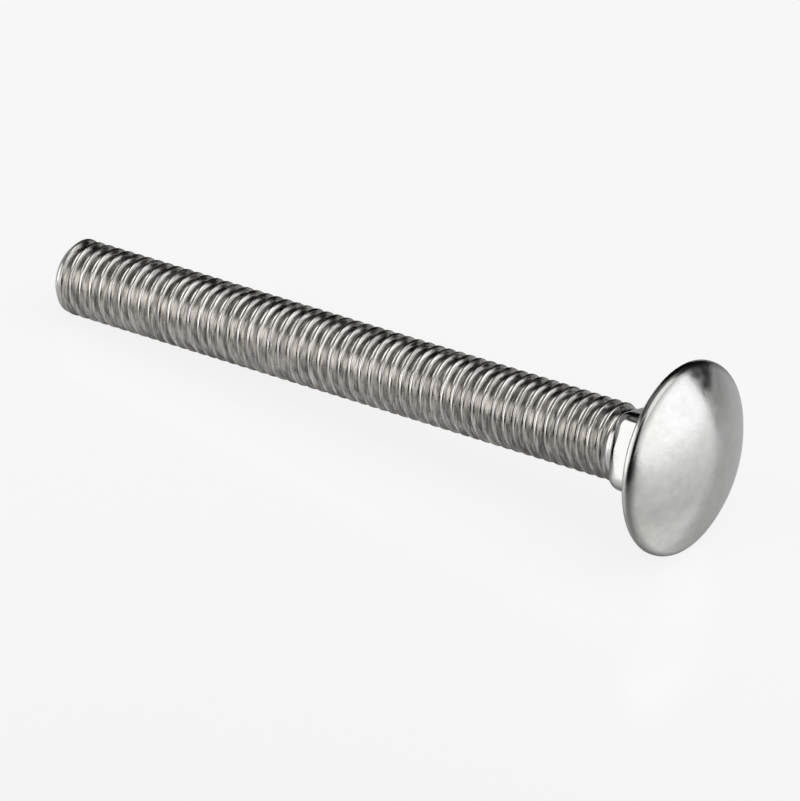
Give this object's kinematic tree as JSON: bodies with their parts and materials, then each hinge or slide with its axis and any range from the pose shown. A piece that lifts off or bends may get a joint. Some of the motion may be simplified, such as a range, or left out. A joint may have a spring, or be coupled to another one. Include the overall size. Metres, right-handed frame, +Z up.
{
  "type": "carriage bolt",
  "caption": "Round-headed bolt with a low dome, a short square neck that stops it turning, and a shank threaded up to the neck.",
  "frame": {"origin": "on the floor that the bolt lies on, under the middle of its length", "axes": "+X along the bolt towards the domed head, +Z up, +Y level. The bolt's own axis leans 4.57 degrees up towards the head, because the bolt rests on the rim of its head and the first turn of its thread."},
  "size_m": [0.0792, 0.0198, 0.0198],
  "materials": {
    "stainless_steel": "bright cold-forged stainless steel: satin head, rolled thread"
  },
  "bodies": {
    "root": {"carriage_bolt": "stainless_steel"}
  },
  "joints": []
}
